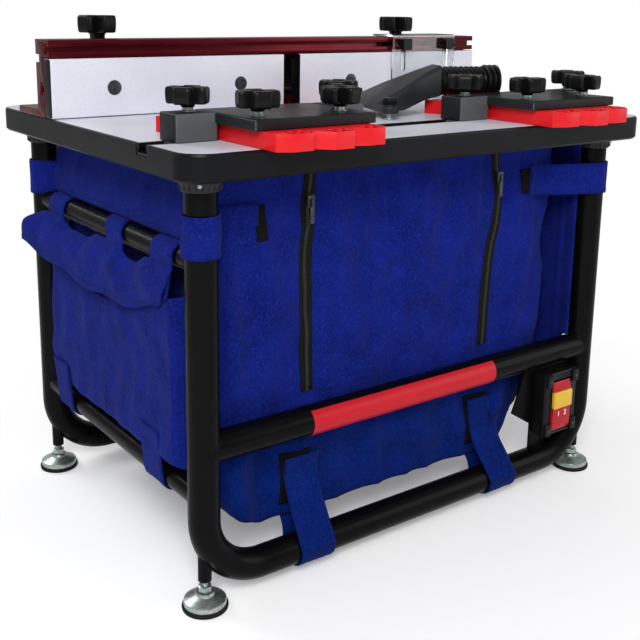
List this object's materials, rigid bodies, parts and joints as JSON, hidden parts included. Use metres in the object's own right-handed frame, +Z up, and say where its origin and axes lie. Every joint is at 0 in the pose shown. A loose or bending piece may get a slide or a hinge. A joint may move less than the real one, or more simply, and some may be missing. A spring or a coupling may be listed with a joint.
{
  "type": "router table",
  "caption": "Router table on a bent-tube stand with levelling feet: laminated top, split fence, featherboards on a mitre track, bit guard, paddle switch and a fabric chip bag.",
  "frame": {"origin": "on the floor, under the middle of the whole object", "axes": "+X along the front edge to the right, +Y from front to back, +Z up"},
  "size_m": [0.8, 0.645, 0.73],
  "materials": {
    "black_powder_coat": "satin powder coat",
    "grey_moulding": "moulded",
    "dark_moulding": "moulded",
    "black_moulding": "moulded",
    "white_laminate": "satin laminate on board",
    "black_edging": "satin edging",
    "black_anodised": "anodised",
    "milled_aluminium": "milled",
    "red_moulding": "moulded",
    "red_anodised": "anodised",
    "zinc_plate": "zinc plated",
    "clear_sheet": "clear polycarbonate",
    "switch_red": "moulded",
    "key_yellow": "moulded",
    "blue_fabric": "woven nylon"
  },
  "bodies": {
    "stand": {"front_frame_tube": "black_powder_coat", "rear_frame_tube": "black_powder_coat", "front_cross_rail": "black_powder_coat", "rear_cross_rail": "black_powder_coat", "left_upper_side_rail": "black_powder_coat", "left_lower_side_rail": "black_powder_coat", "right_upper_side_rail": "black_powder_coat", "right_lower_side_rail": "black_powder_coat", "switch_bracket": "black_powder_coat", "front_left_leg_flange": "grey_moulding", "front_right_leg_flange": "grey_moulding", "rear_left_leg_flange": "grey_moulding", "rear_right_leg_flange": "grey_moulding", "bit_guard": "dark_moulding", "guard_spigot": "black_moulding", "switch_box": "black_moulding", "table_top": "white_laminate", "edge_band": "black_edging", "mitre_track": "black_anodised", "insert_plate": "milled_aluminium", "reducer_ring": "red_moulding", "bag_floor": "blue_fabric", "bag_front_panel": "blue_fabric", "bag_rear_panel": "blue_fabric", "bag_left_panel": "blue_fabric", "bag_right_panel": "blue_fabric", "bag_side_pocket": "blue_fabric"},
    "fence": {"fence_extrusion": "red_anodised", "dust_port": "black_moulding"},
    "fence_face_left": {"fence_face_left": "white_laminate"},
    "fence_knob_left": {"fence_knob_left": "black_moulding"},
    "fence_face_right": {"fence_face_right": "white_laminate"},
    "fence_knob_right": {"fence_knob_right": "black_moulding"},
    "clear_guard": {"clear_guard": "clear_sheet"},
    "guard_knob_left": {"guard_knob_left": "black_moulding"},
    "guard_knob_right": {"guard_knob_right": "black_moulding"},
    "left_featherboard": {"left_featherboard": "dark_moulding", "left_mitre_bar": "milled_aluminium"},
    "left_comb": {"left_comb": "red_moulding"},
    "left_knob_1": {"left_knob_1": "black_moulding"},
    "left_knob_2": {"left_knob_2": "black_moulding"},
    "left_knob_3": {"left_knob_3": "black_moulding"},
    "left_knob_4": {"left_knob_4": "black_moulding"},
    "right_featherboard": {"right_featherboard": "dark_moulding", "right_mitre_bar": "milled_aluminium"},
    "right_comb": {"right_comb": "red_moulding"},
    "right_knob_1": {"right_knob_1": "black_moulding"},
    "right_knob_2": {"right_knob_2": "black_moulding"},
    "right_knob_3": {"right_knob_3": "black_moulding"},
    "right_knob_4": {"right_knob_4": "black_moulding"},
    "guard_screw_front": {"guard_screw_front": "zinc_plate"},
    "guard_screw_rear": {"guard_screw_rear": "zinc_plate"},
    "switch_paddle": {"switch_paddle": "switch_red"},
    "safety_key": {"safety_key": "key_yellow"},
    "front_left_foot": {"front_left_foot": "zinc_plate"},
    "front_right_foot": {"front_right_foot": "zinc_plate"},
    "rear_left_foot": {"rear_left_foot": "zinc_plate"},
    "rear_right_foot": {"rear_right_foot": "zinc_plate"},
    "zip_slider_left": {"zip_slider_left": "zinc_plate"},
    "zip_slider_right": {"zip_slider_right": "zinc_plate"}
  },
  "joints": [
    {"name": "fence_slide", "type": "slide", "parent": "stand", "child": "fence", "axis": [0, 1, 0], "range_m": [-0.03, 0.05]},
    {"name": "fence_face_left_slide", "type": "slide", "parent": "fence", "child": "fence_face_left", "axis": [1, 0, 0], "range_m": [-0.03, 0.01]},
    {"name": "fence_knob_left_turn", "type": "hinge", "parent": "fence", "child": "fence_knob_left", "pos_m": [-0.29, 0.1935, 0.66], "axis": [0, 0, 1], "continuous": true},
    {"name": "fence_face_right_slide", "type": "slide", "parent": "fence", "child": "fence_face_right", "axis": [1, 0, 0], "range_m": [-0.01, 0.03]},
    {"name": "fence_knob_right_turn", "type": "hinge", "parent": "fence", "child": "fence_knob_right", "pos_m": [0.29, 0.1935, 0.66], "axis": [0, 0, 1], "continuous": true},
    {"name": "clear_guard_lift", "type": "slide", "parent": "fence", "child": "clear_guard", "axis": [0, 0, 1], "range_m": [0, 0.035]},
    {"name": "guard_knob_left_turn", "type": "hinge", "parent": "fence", "child": "guard_knob_left", "pos_m": [0.23, 0.095, 0.6858], "axis": [0, 1, 0], "continuous": true},
    {"name": "guard_knob_right_turn", "type": "hinge", "parent": "fence", "child": "guard_knob_right", "pos_m": [0.328, 0.095, 0.6858], "axis": [0, 1, 0], "continuous": true},
    {"name": "left_featherboard_slide", "type": "slide", "parent": "stand", "child": "left_featherboard", "axis": [1, 0, 0], "range_m": [-0.03, 0.06]},
    {"name": "left_comb_slide", "type": "slide", "parent": "left_featherboard", "child": "left_comb", "axis": [0, 1, 0], "range_m": [-0.012, 0.012]},
    {"name": "left_knob_1_turn", "type": "hinge", "parent": "left_featherboard", "child": "left_knob_1", "pos_m": [-0.339, -0.1675, 0.64], "axis": [0, 0, 1], "continuous": true},
    {"name": "left_knob_2_turn", "type": "hinge", "parent": "left_featherboard", "child": "left_knob_2", "pos_m": [-0.287, -0.2395, 0.64], "axis": [0, 0, 1], "continuous": true},
    {"name": "left_knob_3_turn", "type": "hinge", "parent": "left_featherboard", "child": "left_knob_3", "pos_m": [-0.167, -0.2395, 0.64], "axis": [0, 0, 1], "continuous": true},
    {"name": "left_knob_4_turn", "type": "hinge", "parent": "left_featherboard", "child": "left_knob_4", "pos_m": [-0.115, -0.1675, 0.64], "axis": [0, 0, 1], "continuous": true},
    {"name": "right_featherboard_slide", "type": "slide", "parent": "stand", "child": "right_featherboard", "axis": [1, 0, 0], "range_m": [0, 0.03]},
    {"name": "right_comb_slide", "type": "slide", "parent": "right_featherboard", "child": "right_comb", "axis": [0, 1, 0], "range_m": [-0.012, 0.012]},
    {"name": "right_knob_1_turn", "type": "hinge", "parent": "right_featherboard", "child": "right_knob_1", "pos_m": [0.116, -0.1675, 0.64], "axis": [0, 0, 1], "continuous": true},
    {"name": "right_knob_2_turn", "type": "hinge", "parent": "right_featherboard", "child": "right_knob_2", "pos_m": [0.168, -0.2395, 0.64], "axis": [0, 0, 1], "continuous": true},
    {"name": "right_knob_3_turn", "type": "hinge", "parent": "right_featherboard", "child": "right_knob_3", "pos_m": [0.288, -0.2395, 0.64], "axis": [0, 0, 1], "continuous": true},
    {"name": "right_knob_4_turn", "type": "hinge", "parent": "right_featherboard", "child": "right_knob_4", "pos_m": [0.34, -0.1675, 0.64], "axis": [0, 0, 1], "continuous": true},
    {"name": "guard_screw_front_turn", "type": "hinge", "parent": "stand", "child": "guard_screw_front", "pos_m": [0.01403, -0.11982, 0.61], "axis": [0, 0, 1], "continuous": true},
    {"name": "guard_screw_rear_turn", "type": "hinge", "parent": "stand", "child": "guard_screw_rear", "pos_m": [0.07772, 0.03781, 0.61], "axis": [0, 0, 1], "continuous": true},
    {"name": "switch_paddle_lift", "type": "hinge", "parent": "stand", "child": "switch_paddle", "pos_m": [0.2815, -0.2415, 0.17], "axis": [-1, 0, 0], "range_deg": [0, 30]},
    {"name": "safety_key_pull", "type": "slide", "parent": "switch_paddle", "child": "safety_key", "axis": [0, -1, 0], "range_m": [0, 0.02]},
    {"name": "front_left_foot_level", "type": "slide", "parent": "stand", "child": "front_left_foot", "axis": [0, 0, -1], "range_m": [0, 0.02]},
    {"name": "front_right_foot_level", "type": "slide", "parent": "stand", "child": "front_right_foot", "axis": [0, 0, -1], "range_m": [0, 0.02]},
    {"name": "rear_left_foot_level", "type": "slide", "parent": "stand", "child": "rear_left_foot", "axis": [0, 0, -1], "range_m": [0, 0.02]},
    {"name": "rear_right_foot_level", "type": "slide", "parent": "stand", "child": "rear_right_foot", "axis": [0, 0, -1], "range_m": [0, 0.02]},
    {"name": "zip_slider_left_pull", "type": "slide", "parent": "stand", "child": "zip_slider_left", "axis": [0, 0, -1], "range_m": [0, 0.25]},
    {"name": "zip_slider_right_pull", "type": "slide", "parent": "stand", "child": "zip_slider_right", "axis": [-0.0576, 0, -0.9983], "range_m": [0, 0.25]}
  ]
}
